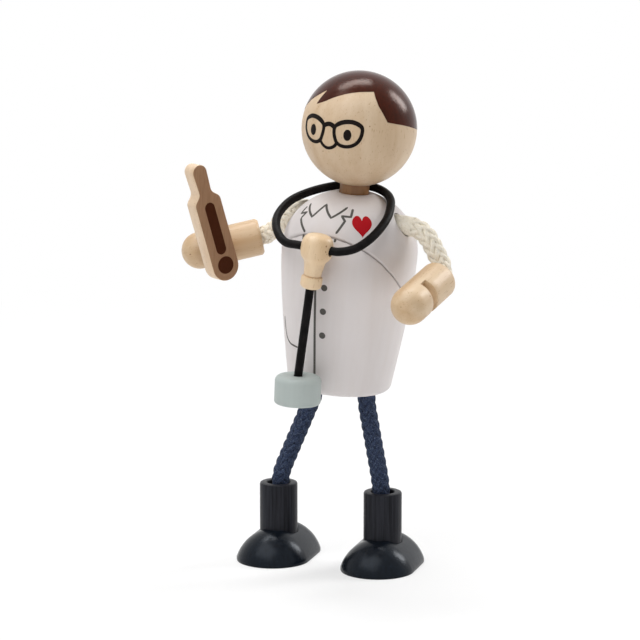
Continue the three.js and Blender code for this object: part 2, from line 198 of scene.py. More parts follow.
def drill(piece, radius, start, aim, length):
    startClean()
    bpy.ops.mesh.primitive_cylinder_add(vertices=tool["bitSides"], radius=radius * mm, depth=length * mm)
    bit = bpy.context.object
    turn = Vector(aim).to_track_quat("Z", "Y").to_matrix().to_4x4()
    turn.translation = Vector(start) + Vector(aim).normalized() * (length / 2)
    place(bit, turn)
    cutAway(piece, bit)


def breakEdges(piece, width, angle=tool["breakOver"]):
    pick(piece)
    bevel = piece.modifiers.new("edges", "BEVEL")
    bevel.width = width * mm
    bevel.segments = tool["edgeSegments"]
    bevel.limit_method = "ANGLE"
    bevel.angle_limit = math.radians(angle)
    bpy.ops.object.modifier_apply(modifier="edges")


# Points along a line that bends smoothly through the given ones, or runs straight between them
def smoothPath(points, steps):
    path = []
    ends = [points[0], *points, points[-1]]
    for a, b, c, d in zip(ends, ends[1:], ends[2:], ends[3:]):
        for i in range(steps):
            t = i / steps
            path.append(tuple(
                0.5 * (
                    2 * q + (r - p) * t + (2 * p - 5 * q + 4 * r - s) * t * t
                    + (3 * q - p - 3 * r + s) * t ** 3
                )
                for p, q, r, s in zip(a, b, c, d)
            ))
    path.append(tuple(points[-1]))
    return path


def straightPath(points, steps):
    path = []
    for a, b in zip(points, points[1:]):
        path += [tuple(p + (q - p) * i / steps for p, q in zip(a, b)) for i in range(steps)]
    return path + [tuple(points[-1])]


def dress(piece, material, body, nodes=()):
    piece.data.materials.clear()
    piece.data.materials.append(material)
    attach(piece, body)
    if nodes:
        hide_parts(*nodes)


# Materials

def hexColour(code):
    values = [int(code[i:i + 2], 16) / 255 for i in (1, 3, 5)]
    return (*(v / 12.92 if v <= 0.04045 else ((v + 0.055) / 1.055) ** 2.4 for v in values), 1.0)


# Adds a node with its settings, values and links. Stops are a colour ramp's places and hex colours
def addNode(tree, kind, inputs=None, stops=(), **settings):
    node = tree.nodes.new("ShaderNode" + kind)
    for key, value in settings.items():
        setattr(node, key, value)
    for key, value in (inputs or {}).items():
        if isinstance(value, bpy.types.NodeSocket):
            tree.links.new(value, node.inputs[key])
        else:
            node.inputs[key].default_value = value
    for number, (position, code) in enumerate(stops):
        node.color_ramp.elements[number].position = position
        node.color_ramp.elements[number].color = hexColour(code)
    return node


def newMaterial(name, shaderValues):
    material = bpy.data.materials.new(name)
    material.use_nodes = True
    tree = material.node_tree
    shader = tree.nodes["Principled BSDF"]
    for key, value in shaderValues.items():
        shader.inputs[key].default_value = value
    return material, tree, shader


# Brings the pattern's colour to the shader, and its relief where there is one, depth in millimetres
def finishSurface(tree, shader, colour, height=None, strength=0.0, depth=0.0):
    tree.links.new(colour, shader.inputs["Base Color"])
    if height is not None:
        bump = addNode(tree, "Bump", {"Height": height, "Strength": strength, "Distance": depth * mm})
        tree.links.new(bump.outputs["Normal"], shader.inputs["Normal"])


# Coordinates in millimetres, turned so that Z runs along the grain, then stretched
def grainCoordinates(tree, aim=(0, 0, 1), stretch=(1, 1, 1)):
    coordinates = addNode(tree, "TexCoord").outputs["Object"]
    turn = Vector(aim).to_track_quat("Z", "Y").inverted().to_euler()
    turned = addNode(tree, "Mapping", {"Vector": coordinates, "Rotation": turn, "Scale": (1 / mm,) * 3})
    return addNode(tree, "Mapping", {"Vector": turned.outputs[0], "Scale": stretch}).outputs[0]


# Lacquered beech: pale, with faint growth streaks along the grain and short thin pores, satin from a thin
# clear coat. A colour mix takes its factor at 0 and its colours at 6 and 7, and gives the result at 2
def beechWood(name, aim, pale="#d8be9c", deep="#c5a47c"):
    material, tree, shader = newMaterial(name, {"Roughness": 0.45, "IOR": 1.5, "Coat Weight": 0.1})
    marks = {}
    for mark, stretch, detail in (
        ("streaks", (0.26, 0.26, 0.012), 3.0),  # about 4 mm apart, running the length of a piece
        ("pores", (4.2, 4.2, 0.45), 1.0),  # about 0.2 mm wide and 2 mm long
        ("specks", (1.1, 1.1, 0.9), 1.0),  # a few dark ones half a millimetre across
    ):
        at = grainCoordinates(tree, aim, stretch)
        noise = addNode(tree, "TexNoise", {"Vector": at, "Scale": 1.0, "Detail": detail})
        marks[mark] = noise.outputs["Fac"]
    tone = addNode(tree, "ValToRGB", {"Fac": marks["streaks"]}, [(0.3, deep), (0.68, pale)])
    colour = tone.outputs["Color"]
    for mark, start, end, dark in (("pores", 0.24, 0.35, "#d9c8b7"), ("specks", 0.19, 0.25, "#b08d6e")):
        tone = addNode(tree, "ValToRGB", {"Fac": marks[mark]}, [(start, dark), (end, "#ffffff")])
        mixed = addNode(
            tree, "Mix", {0: 1.0, 6: colour, 7: tone.outputs["Color"]},
            data_type="RGBA", blend_type="MULTIPLY",
        )
        colour = mixed.outputs[2]
    finishSurface(tree, shader, colour, marks["pores"], 0.06, 0.1)
    return material


# Paint brushed on turned wood: the grain shows through as faint lines along it, under a fine ripple
def woodPaint(
    name, aim, colour, shade, roughness, grain=0.08, lines=(0.9, 0.9, 0.05), shine=0.5, tint="#ffffff"
):
    material, tree, shader = newMaterial(name, {
        "Roughness": roughness, "IOR": 1.5, "Specular IOR Level": shine, "Specular Tint": hexColour(tint),
    })
    streaks = addNode(
        tree, "TexNoise",
        {"Vector": grainCoordinates(tree, aim, lines), "Scale": 1.0, "Detail": 6.0, "Roughness": 0.6},
    ).outputs["Fac"]
    ripple = addNode(  # 0.5 mm, the paint's own
        tree, "TexNoise",
        {"Vector": grainCoordinates(tree, aim, (2.0, 2.0, 2.0)), "Scale": 1.0, "Detail": 3.0},
    ).outputs["Fac"]
    tone = addNode(tree, "ValToRGB", {"Fac": streaks}, [(0.3, shade), (0.6, colour)])
    height = addNode(tree, "Mix", {0: 0.35, 2: streaks, 3: ripple}, data_type="FLOAT")
    finishSurface(tree, shader, tone.outputs["Color"], height.outputs[0], grain, 0.2)
    return material


# Spun cotton: matt, fibres 0.2 mm apart that catch light at the edges of each strand
def cottonRope(name, pale, deep, spots, fuzz):
    material, tree, shader = newMaterial(name, {
        "Roughness": 0.95, "Sheen Weight": fuzz, "Sheen Roughness": 0.6, "Specular IOR Level": 0.1,
    })
    at = grainCoordinates(tree)
    fibres = addNode(
        tree, "TexNoise", {"Vector": at, "Scale": 2.6, "Detail": 6.0, "Roughness": 0.7}
    ).outputs["Fac"]
    lint = addNode(tree, "TexNoise", {"Vector": at, "Scale": 5.0, "Detail": 2.0}).outputs["Fac"]
    tone = addNode(tree, "ValToRGB", {"Fac": fibres}, [(0.35, deep), (0.62, pale)])
    flecks = addNode(tree, "ValToRGB", {"Fac": lint}, [(0.58, "#000000"), (0.7, "#ffffff")])
    mixed = addNode(
        tree, "Mix",
        {0: flecks.outputs["Color"], 6: tone.outputs["Color"], 7: hexColour(spots)}, data_type="RGBA",
    )
    finishSurface(tree, shader, mixed.outputs[2], fibres, 0.4, 0.4)
    return material


# Waxed black cord: satin, with a fine woven skin
def waxedCord(name):
    material, tree, shader = newMaterial(name, {"Roughness": 0.42, "IOR": 1.5, "Specular IOR Level": 0.06})
    at = grainCoordinates(tree)
    weave = addNode(tree, "TexVoronoi", {"Vector": at, "Scale": 2.4})
    wear = addNode(tree, "TexNoise", {"Vector": at, "Scale": 0.5, "Detail": 4.0}).outputs["Fac"]
    tone = addNode(tree, "ValToRGB", {"Fac": wear}, [(0.35, "#0a0909"), (0.7, "#1a1717")])
    finishSurface(tree, shader, tone.outputs["Color"], weave.outputs["Distance"], 0.18, 0.2)
    return material


# Screen-printed ink: flat and a little matt, thin where the mesh left pinholes
def printInk(name, colour, thin):
    material, tree, shader = newMaterial(name, {"Roughness": 0.5, "IOR": 1.5, "Specular IOR Level": 0.1})
    pinholes = addNode(
        tree, "TexNoise", {"Vector": grainCoordinates(tree), "Scale": 3.0, "Detail": 3.0}
    ).outputs["Fac"]
    tone = addNode(tree, "ValToRGB", {"Fac": pinholes}, [(0.2, thin), (0.42, colour)])
    finishSurface(tree, shader, tone.outputs["Color"])
    return material


# Drawn steel wire: bright metal with fine draw lines
def drawnSteel(name):
    material, tree, shader = newMaterial(name, {"Metallic": 1.0, "Roughness": 0.35})
    at = grainCoordinates(tree, stretch=(4, 4, 0.3))
    lines = addNode(tree, "TexNoise", {"Vector": at, "Scale": 1.0}).outputs["Fac"]
    tone = addNode(tree, "ValToRGB", {"Fac": lines}, [(0.3, "#7f8183"), (0.7, "#b4b6b8")])
    finishSurface(tree, shader, tone.outputs["Color"])
    return material


up = (0, 0, 1)
torsoUp = aimOnTorso(*up)
coatPaint = woodPaint(
    "whiteSatinPaint", torsoUp, "#dfd9d8", "#dcd5d3", 0.45, grain=0.015, lines=(0.3, 0.3, 0.02), shine=0.35
)
headBeech = beechWood("turnedBeechBall", torsoUp, "#d8c0a2", "#caad8a")
# Neck dowel beech, darkened below the wood's own tone: painted shade from the head above it
neckBeechPaintedShade = beechWood("beechDowelNeckPaintedShade", torsoUp, "#a97a4a", "#8b6036")
yokeBeech = beechWood("turnedBeechYoke", torsoUp, "#e9ceaa", "#d9b88e")
hairPaint = woodPaint(
    "brownGlossPaint", torsoUp, "#3e1102", "#2f0c01", 0.2, grain=0.3, shine=0.2, tint="#ffd9c6"
)
bootPaint = woodPaint(
    "blackGlossPaint", up, "#0e141c", "#090d13", 0.25, grain=0.35, shine=0.17, tint="#e1ebf8"
)
shaftPaint = woodPaint(
    "blackPaintOnDowel", up, "#2a2b31", "#111216", 0.34, grain=0.6, lines=(1.4, 1.4, 0.05), shine=0.1
)
puckPaint = woodPaint("paleGreySatinPaint", torsoUp, "#b3bcb9", "#b0b9b6", 0.5, grain=0.015, shine=0.3)
creamCotton = cottonRope("creamCotton", "#fbf4e6", "#eee5d0", "#fdfaf2", 0.12)
navyCotton = cottonRope("navyCotton", "#3b4763", "#151c2b", "#76849d", 0.06)
blackCord = waxedCord("waxedBlackCord")
faceInk = printInk("darkBrownInk", "#120a07", "#1c100b")
coatInk = printInk("greyInk", "#5c5955", "#6c6964")
heartInk = printInk("redInk", "#b5121d", "#bd1f29")
gaugeInk = printInk("brownInk", "#411b05", "#4a240b")
steelWire = drawnSteel("drawnSteelWire")
print("materials mixed")

# Stethoscope: a cord loop round the neck, a turned yoke, a hanging cord and a round chest piece

yoke = {
    "at": (1.3, -21.75, 40), "aim": (0.1, 0, 1), "knobRadius": 4.1, "knobHeight": 7.2, "knobFrom": -62,
    "knobSquare": (0.5, 0.8), "neckTop": 2.75, "neckFoot": 2.25, "neckLength": 3.6, "neckFlare": 1.5,
    "beadRadius": 2.75, "beadHeight": 3.3, "beadCorner": 1.1, "lead": 1.6, "gap": 0.3, "steps": 72,
    "cornerSteps": 8, "neckSteps": 8, "knobSteps": 20,
    "mouth": [(1.25, 0), (1.25, 0.4), (1.5, 0)],  # from the axis and the foot
    "beadTop": [(0, -0.7), (-0.1, -0.3)],  # from the bead's side and the neck's foot
    "groove": [(0.1, -0.12), (-0.3, 0), (0, 0.15)],  # from the neck's side and its foot
}
loop = {
    "radius": 1.1, "into": 1.2, "steps": 6, "roundness": 6, "holeSlack": 0.12, "holeReach": 6,
    "route": [
        (-7.8, -21.0, 39.9), (-10.6, -19.2, 40.7), (-13.3, -16.4, 42.3), (-15.2, -12.9, 44.0),
        (-15.9, -9.0, 45.8), (-15.4, -4.8, 47.7), (-13.4, -0.8, 49.3), (-10.2, 2.4, 50.7), (-6.2, 4.9, 51.8),
        (-1.5, 6.2, 52.3), (3.2, 5.8, 52.3), (7.2, 3.9, 51.7), (10.2, 0.6, 50.7), (12.2, -3.6, 49.1),
        (13.4, -8.0, 47.2), (13.4, -12.6, 44.8), (12.5, -16.8, 42.6), (10.6, -20.0, 40.9),
    ],
}
pendant = {
    "drop": 21.3, "aim": (-0.07, 0.01, -1), "gap": 0.3, "dropSteps": 40, "intoYoke": 1.9, "intoDisc": 0.8,
    "discAim": (-0.04, 0, 1), "discGap": 0.45, "radius": 5.95, "height": 7.3, "rounding": 1.4, "rim": 0.7,
    "steps": 96, "rimSteps": 6, "topSteps": 10,
    "foot": [(-2.0, 0.5), (-1.6, 0.1)],  # from the disc's side and its foot
    "cordHole": [(1.5, 0), (1.25, -0.2), (1.25, -1.6), (0, -1.6)],  # from the axis and the top
}
turnedAngle = 40  # a turned edge sharper than this stays crisp

yokeAt = Vector(yoke["at"])
sideReach = yoke["knobRadius"] + yoke["gap"]
inside, outside = Vector((sideReach - loop["into"], 0, 0)), Vector((sideReach + yoke["lead"], 0, 0))
loopPoints = [yokeAt - inside, yokeAt - outside, *loop["route"], yokeAt + outside, yokeAt + inside]
loopPath = [onTorso(*point) * mm for point in smoothPath([tuple(p) for p in loopPoints], loop["steps"])]


def cordCurve(name, path):
    curve = bpy.data.curves.new(name, "CURVE")
    curve.dimensions = "3D"
    spline = curve.splines.new("POLY")
    spline.points.add(len(path) - 1)
    for point, at in zip(spline.points, path):
        point.co = (*at, 1)
    curve.bevel_depth = loop["radius"] * mm
    curve.bevel_resolution = loop["roundness"]
    curve.use_fill_caps = True
    spline.use_smooth = True
    piece = bpy.data.objects.new(name, curve)
    bpy.context.scene.collection.objects.link(piece)
    return piece


loopCord = cordCurve("stethoscope_loop_cord", loopPath)
dress(loopCord, blackCord, "stethoscope", ["stethoscope_loop"])

knobHalf = yoke["knobHeight"] / 2
yokeFoot = -knobHalf - yoke["neckLength"] - yoke["beadHeight"]


def yokeProfile():
    neckFoot = -knobHalf - yoke["neckLength"]
    corner, bead, neckRadius = yoke["beadCorner"], yoke["beadRadius"], yoke["neckFoot"]
    points = [(0, yokeFoot)] + [(r, yokeFoot + h) for r, h in yoke["mouth"]]
    points += arc((bead - corner, yokeFoot + corner), (corner, corner), -90, 0, yoke["cornerSteps"])
    points += [(bead + r, neckFoot + h) for r, h in yoke["beadTop"]]
    points += [(neckRadius + r, neckFoot + h) for r, h in yoke["groove"]]
    start = yoke["groove"][-1][1]
    for t in shares(yoke["neckSteps"]):
        points.append((
            neckRadius + (yoke["neckTop"] - neckRadius) * t ** yoke["neckFlare"],
            neckFoot + start + (yoke["neckLength"] - start) * t,
        ))
    reach, rise = yoke["knobSquare"]
    for t in shares(yoke["knobSteps"]):
        a = math.radians(yoke["knobFrom"] + (90 - yoke["knobFrom"]) * t)
        points.append((
            yoke["knobRadius"] * max(math.cos(a), 0) ** reach,
            knobHalf * math.copysign(abs(math.sin(a)) ** rise, a),
        ))
    return points


yokePiece = turnOnLathe("stethoscope_yoke_turned", yokeProfile(), yoke["steps"])
drill(
    yokePiece, loop["radius"] + loop["holeSlack"], (-loop["holeReach"], 0, 0), (1, 0, 0), 2 * loop["holeReach"]
)
yokeTurn = Vector(up).rotation_difference(Vector(yoke["aim"])).to_matrix().to_4x4()
place(yokePiece, torsoPlace @ Matrix.Translation(yoke["at"]) @ yokeTurn)
smooth(yokePiece, turnedAngle)
dress(yokePiece, yokeBeech, "stethoscope", ["stethoscope_yoke"])

dropAim = Vector(pendant["aim"]).normalized()
swing = yokeAt + Vector(yoke["aim"]).normalized() * (yokeFoot - loop["radius"] - pendant["gap"])
dropEnd = pendant["drop"] + pendant["intoDisc"]
dropRun = [-pendant["intoYoke"], 0] + [dropEnd * t for t in shares(pendant["dropSteps"])]
dropCord = cordCurve("stethoscope_drop_cord", [onTorso(*(swing + dropAim * run)) * mm for run in dropRun])
dress(dropCord, blackCord, "chest_piece", ["stethoscope_cord"])


def puckProfile():
    radius, height, rounding, rim = (pendant[key] for key in ("radius", "height", "rounding", "rim"))
    points = [(0, pendant["foot"][0][1])] + [(radius + r, h) for r, h in pendant["foot"]]
    points += arc((radius - rim, rim), (rim, rim), -90, 0, pendant["rimSteps"])
    shoulder = (radius - rounding, height - rounding)
    points += arc(shoulder, (rounding, rounding), 0, 90, pendant["topSteps"])
    return points + [(r, height + h) for r, h in pendant["cordHole"]]


discAim = Vector(pendant["discAim"]).normalized()
puckPlace = discAim.to_track_quat("Z", "Y").to_matrix().to_4x4()
puckPlace.translation = (
    swing + dropAim * pendant["drop"] - discAim * (pendant["discGap"] + pendant["height"])
)
puck = turnOnLathe("chest_piece_disc", puckProfile(), pendant["steps"])
place(puck, torsoPlace @ puckPlace)
smooth(puck, turnedAngle)
dress(puck, puckPaint, "chest_piece", ["chest_piece"])

# Torso: one turned barrel, sawn through on a slant

torso = {
    "hemRadius": 13.6, "hemRounding": 2, "bellyRise": 26.6, "shoulderRadius": 17.6, "shoulderHeight": 36.4,
    "shoulderDome": 15.6, "collarRadius": 5, "seamHeight": 26, "seamTilt": 45, "seamGap": 0.35,
    "seamEdge": 0.3, "armHole": 45, "armHoleRadius": 2.75, "armDrill": 20, "legHoles": (-6.7, 8.1),
    "legHoleRadius": 2.6, "legHoleDepth": 10, "legDrillOver": 2, "pinRadius": 3.3, "pinLength": 15.6,
    "pinForward": 1.3, "neckHoleRadius": 4.1, "neckHoleDepth": 3.3, "neckDrill": 6, "steps": 128,
    "hemSteps": 8, "sideSteps": 24, "domeSteps": 24,
}


def barrelProfile():
    rounding, hem, shoulder = torso["hemRounding"], torso["hemRadius"], torso["shoulderRadius"]
    points = [(0, 0)]
    points += arc((hem - rounding, rounding), (rounding, rounding), -90, 0, torso["hemSteps"])
    for t in shares(torso["sideSteps"]):
        height = bendAt(t, rounding, torso["bellyRise"], torso["shoulderHeight"])
        points.append((bendAt(t, hem, shoulder, shoulder), height))
    last = math.degrees(math.acos(torso["collarRadius"] / shoulder))
    dome = (shoulder, torso["shoulderDome"])
    points += arc((0, torso["shoulderHeight"]), dome, 0, last, torso["domeSteps"])[1:]
    return points + [(0, points[-1][1])]


barrel = barrelProfile()
collarHeight = barrel[-1][1]


# The barrel's radius and outward slope at a height, read off the profile
def barrelAt(height):
    for (r0, h0), (r1, h1) in zip(barrel[1:], barrel[2:]):
        if h0 <= height <= h1 and h1 > h0:
            t = (height - h0) / (h1 - h0)
            return r0 + t * (r1 - r0), math.atan2(r0 - r1, h1 - h0)
    return torso["hemRadius"], 0.0


tilt = math.radians(torso["seamTilt"])
seamNormal = Vector((0, math.sin(tilt), math.cos(tilt)))
waist = Vector((0, -torso["pinForward"], torso["seamHeight"] + torso["pinForward"] * math.tan(tilt)))


def sawTorso(name, keepUpper):
    piece = turnOnLathe(name, barrel, torso["steps"])
    side = 1 if keepUpper else -1
    editAll()
    bpy.ops.mesh.bisect(
        plane_co=(waist + seamNormal * (side * torso["seamGap"] / 2)) * mm, plane_no=seamNormal,
        use_fill=True, clear_inner=keepUpper, clear_outer=not keepUpper,
    )
    bpy.ops.mesh.bevel(offset=torso["seamEdge"] * mm, segments=tool["edgeSegments"], affect="EDGES")
    leaveEdit()
    pinStart = waist - seamNormal * torso["pinLength"] / 2
    drill(piece, torso["pinRadius"], pinStart, seamNormal, torso["pinLength"])
    return piece


torsoUpper = sawTorso("coat_top", True)
drill(
    torsoUpper, torso["armHoleRadius"], (-torso["armDrill"], 0, torso["armHole"]), (1, 0, 0),
    2 * torso["armDrill"],
)
drill(
    torsoUpper, torso["neckHoleRadius"], (0, 0, collarHeight - torso["neckHoleDepth"]), up, torso["neckDrill"]
)
torsoLower = sawTorso("coat_skirt", False)
over = torso["legDrillOver"]
for sideways in torso["legHoles"]:
    drill(torsoLower, torso["legHoleRadius"], (sideways, 0, -over), up, torso["legHoleDepth"] + over)
for piece, body, node in (
    (torsoUpper, "upper_torso", "torso_upper"), (torsoLower, "lower_torso", "torso_lower"),
):
    place(piece, torsoPlace)
    smooth(piece)
    dress(piece, coatPaint, body, [node])
print("torso turned and sawn")

# Printed marks: a line or a spot laid on a surface that is given as point and normal at two coordinates

ink = {
    "lift": 0.012, "thickness": 0.05, "offset": 0, "merge": 0.06, "columns": 4, "endWidth": 0.12, "rings": 5,
}
filmAngle = 50  # the edge of a film of ink or paint stays crisp


# Gives flat print or paint its thickness, once its faces look out of the surface
def filmUp(piece, outwards, film):
    closeUp(piece, film["merge"])
    if sum((face.normal * face.area for face in piece.data.polygons), Vector()).dot(outwards) < 0:
        editAll()
        bpy.ops.mesh.flip_normals()
        leaveEdit()
    solid = piece.modifiers.new("film", "SOLIDIFY")
    solid.thickness = film["thickness"] * mm
    solid.offset = film["offset"]
    bpy.ops.object.modifier_apply(modifier="film")
    smooth(piece, filmAngle)


# A grid of rows along the path and columns across it, bent onto the surface, with round ends
def printLine(name, path, surface, width, material, body, widths=None):
    spots = [surface(*point) for point in path]
    columns = ink["columns"]
    startClean()
    bpy.ops.mesh.primitive_grid_add(x_subdivisions=columns, y_subdivisions=len(path) - 1, size=1)
    piece = newest(name)
    run = runAlong([point for point, _ in spots])
    for row, (point, normal) in enumerate(spots):
        before = spots[max(row - 1, 0)][0]
        after = spots[min(row + 1, len(spots) - 1)][0]
        across = normal.cross(after - before).normalized()
        full = widths[row] if widths else width
        end = min(run[row], run[-1] - run[row], full / 2)
        half = max(math.sqrt(max(full * end - end * end, 0)), full * ink["endWidth"])
        for column in range(columns + 1):
            offset = across * (2 * column / columns - 1) * half + normal * ink["lift"]
            piece.data.vertices[row * (columns + 1) + column].co = (point + offset) * mm
    filmUp(piece, spots[len(spots) // 2][1], ink)
    dress(piece, material, body)


# A filled outline round a centre, in rings, bent onto the surface
def printSpot(name, centre, outline, surface, material, body):
    count = len(outline)
    startClean()
    bpy.ops.mesh.primitive_circle_add(vertices=count, radius=1, fill_type="TRIFAN")
    piece = newest(name)
    editAll()
    bpy.ops.mesh.subdivide(number_cuts=ink["rings"])
    leaveEdit()
    for vertex in piece.data.vertices:
        turn = (math.atan2(vertex.co.y, vertex.co.x) / (2 * math.pi) % 1) * count
        low, t = int(turn) % count, turn - int(turn)
        edge = [p + (q - p) * t for p, q in zip(outline[low], outline[(low + 1) % count])]
        # the circle's sides run a little inside it
        rim = math.cos(math.pi * (2 * t - 1) / count) / math.cos(math.pi / count)
        share = min(min(vertex.co.to_2d().length, 1.0) * rim, 1.0)
        point, normal = surface(*(c + e * share for c, e in zip(centre, edge)))
        vertex.co = (point + normal * ink["lift"]) * mm
    filmUp(piece, surface(*centre)[1], ink)
    dress(piece, material, body)


def coatSurface(angle, height):
    radius, slope = barrelAt(height)
    a = math.radians(angle)
    out = Vector((math.sin(a), -math.cos(a), 0))
    normal = out * math.cos(slope) + Vector((0, 0, math.sin(slope)))
    return onTorso(*(out * radius + Vector((0, 0, height)))), aimOnTorso(*normal)


# Coat: collar and lapels on the shoulders, an opening line, a pocket, buttons and a heart, each at an angle
# round the barrel and a height
coat = {
    "lines": {
        "collar": [(-46, 48.3), (-21.3, 45.9), (-15.7, 49.1), (2.1, 46.5), (18.2, 49.2)],
        "rightLapel": [(-45, 47.5), (-42.5, 45.8), (-34.6, 46.5), (-36.2, 44.9)],
        "leftLapel": [(25.7, 48.9), (24.1, 47.2), (13.7, 47.2), (18.2, 46.2), (11.6, 43.1)],
        "rightEdge": [(-36.2, 44.9), (-31.5, 44.1), (-26, 43.2), (-20, 42.2)],
        "rightMark": [(-20.6, 41.6), (-19, 40.3)],
        "leftMark": [(12.2, 41.9), (12.0, 41.1)],
        "opening": [(-1.9, 31.1), (-1.8, 25.5), (-1.7, 15.6), (-1.7, 5.9), (-1.7, 1.3)],
        "pocket": [(-47, 18.5), (-46.8, 16.2), (-43.8, 13.5), (-37.1, 12.1), (-30, 11.8), (-23.4, 11.7)],
    },
    "angular": ("collar", "rightLapel", "leftLapel"), "steps": 10, "lineWidth": 0.62, "pocketWidth": 0.45,
    "buttons": [(6.3, 29.1), (6.0, 22.8), (6.0, 16.4)], "buttonRadius": 0.85, "heartAt": (36.4, 45.1),
    "heartSize": 5.6,
}


def bodyAt(points):
    height = sum(h for _, h in points) / len(points)
    angle = sum(a for a, _ in points) / len(points)
    seam = torso["seamHeight"] + barrelAt(height)[0] * math.cos(math.radians(angle))
    return "upper_torso" if height > seam else "lower_torso"


def coatSpot(name, at, outline, material):
    radius, _ = barrelAt(at[1])
    flat = [(math.degrees(x / radius), y) for x, y in outline]
    printSpot(name, at, flat, coatSurface, material, bodyAt([at]))


def ring(radius, count=32):
    return arc((0, 0), (radius, radius), 0, 360, count)[:-1]


# The common heart curve, 33 across, set a little up and run the other way round from its right side
def heartOutline(size, count=64, across=33, setUp=2.5):
    points = []
    for i in range(count):
        a = 2 * math.pi * i / count
        x = 16 * math.sin(a) ** 3
        y = 13 * math.cos(a) - 5 * math.cos(2 * a) - 2 * math.cos(3 * a) - math.cos(4 * a)
        points.append((x * size / across, (y + setUp) * size / across))
    return points[count // 4::-1] + points[:count // 4:-1]


for key, points in coat["lines"].items():
    bend = straightPath if key in coat["angular"] else smoothPath
    width = coat["pocketWidth"] if key == "pocket" else coat["lineWidth"]
    printLine("coat_" + key, bend(points, coat["steps"]), coatSurface, width, coatInk, bodyAt(points))
for number, at in enumerate(coat["buttons"]):
    coatSpot(f"coat_button_{number + 1}", at, ring(coat["buttonRadius"]), coatInk)
coatSpot("coat_heart", coat["heartAt"], heartOutline(coat["heartSize"]), heartInk)
print("coat printed")

# Head: a turned ball with painted hair and a printed face, laid out in degrees round the ball and up it

head = {
    "radius": 14.8, "height": 68, "faceTurn": -5.6, "socketRadius": 4.1, "socketDepth": 7.9, "drillOver": 1,
    "segments": 128, "rings": 72,
}
hair = {
    "lift": 0.05, "thickness": 0.06, "offset": -1, "merge": 0.001, "hub": (12, -12), "rows": 40, "steps": 8,
    "line": [
        (-60.5, 15.2), (-57, 19), (-52.5, 21.5), (-48.5, 24), (-45.5, 27.3), (-39, 32), (-31, 37.6),
        (-23, 43.4), (-24.2, 37.5), (-25.4, 31.6), (-26.4, 26.2), (-20.5, 28.6), (-14.2, 31.4), (-7, 35.6),
        (0.6, 39.3), (9, 42.6), (17.4, 44.9), (27, 46.8), (36.2, 47.7), (48.6, 48.3), (49.2, 41.5),
        (51.7, 32.2), (56.4, 23.6), (60.5, 15.7), (66.4, 14.7), (83, 11.8), (109, 5.7), (140, -1), (180, -5),
        (220, -1), (251, 5.7), (277, 11.8), (293.6, 14.7), (299.5, 15.2),
    ],
}
face = {
    "lens": [
        (6.2, 6.4), (7.6, 9.3), (11.8, 12.1), (18, 14), (25, 14.1), (30.4, 12.3), (34, 9.4), (34.4, 4.6),
        (33, -1), (29.8, -6), (24.9, -9.2), (19.3, -10.5), (13.5, -9.8), (9.4, -7), (7.2, -2), (6.2, 2.6),
    ],
    "lensOverlap": 3, "rimWidth": 0.92, "browWidth": 1.14, "browFrom": 8, "browOver": 4,
    "pupilAt": (20.1, 1.1), "pupilSize": (4.0, 5.5),
    "bridge": [(-6.5, 6.6), (-3.8, 8.8), (0, 9.8), (3.8, 8.8), (6.5, 6.6)],
    "nose": [(-9.6, -7.4), (-7, -11.2), (-3.4, -13.7), (0.4, -14.2), (4.6, -12.9), (7.8, -10.6), (9.7, -7.6)],
    "noseWidth": 0.84, "steps": 8,
}


def headSurface(lon, lat):
    a, b = math.radians(lon + head["faceTurn"]), math.radians(lat)
    out = Vector((math.cos(b) * math.sin(a), -math.cos(b) * math.cos(a), math.sin(b)))
    return onTorso(*(Vector((0, 0, head["height"])) + out * head["radius"])), aimOnTorso(*out)


startClean()
bpy.ops.mesh.primitive_uv_sphere_add(
    segments=head["segments"], ring_count=head["rings"], radius=head["radius"] * mm
)
headBall = newest("head_ball")
drill(
    headBall, head["socketRadius"], (0, 0, -head["radius"] - head["drillOver"]), up,
    head["socketDepth"] + head["drillOver"],
)
place(headBall, torsoPlace @ Matrix.Translation((0, 0, head["height"])))
smooth(headBall)
dress(headBall, headBeech, "head", ["head"])


# Hair runs from a hub near the crown out to its painted edge, laid out on a flat map of the ball's top
def hairPiece():
    edge = straightPath(hair["line"], hair["steps"])[:-1]
    rows = hair["rows"]
    flat = [
        Vector(((90 - lat) * math.sin(math.radians(lon)), -(90 - lat) * math.cos(math.radians(lon))))
        for lon, lat in edge
    ]
    hub = Vector(hair["hub"])
    startClean()
    bpy.ops.mesh.primitive_grid_add(x_subdivisions=rows, y_subdivisions=len(edge), size=1)
    piece = newest("head_hair")
    for step in range(len(edge) + 1):
        for row in range(rows + 1):
            spot = hub + (flat[step % len(edge)] - hub) * (row / rows)
            lon = math.degrees(math.atan2(spot.x, -spot.y))
            point, normal = headSurface(lon, 90 - spot.length)
            piece.data.vertices[step * (rows + 1) + row].co = (point + normal * hair["lift"]) * mm
    filmUp(piece, torsoUp, hair)
    dress(piece, hairPaint, "head")


hairPiece()

for side, name in ((-1, "right"), (1, "left")):
    rim = [(side * lon, lat) for lon, lat in face["lens"]]
    path = smoothPath(rim + rim[:face["lensOverlap"]], face["steps"])
    brow = [min(max((lat - face["browFrom"]) / face["browOver"], 0), 1) for _, lat in path]
    widths = [face["rimWidth"] + (face["browWidth"] - face["rimWidth"]) * share for share in brow]
    printLine(f"face_{name}_rim", path, headSurface, face["rimWidth"], faceInk, "head", widths)
    (lon, lat), (wide, tall) = face["pupilAt"], face["pupilSize"]
    pupil = [(x * wide, y * tall) for x, y in ring(1)]
    printSpot(f"face_{name}_eye", (side * lon, lat), pupil, headSurface, faceInk, "head")
for key, width in (("bridge", face["browWidth"]), ("nose", face["noseWidth"])):
    printLine("face_" + key, smoothPath(face[key], face["steps"]), headSurface, width, faceInk, "head")

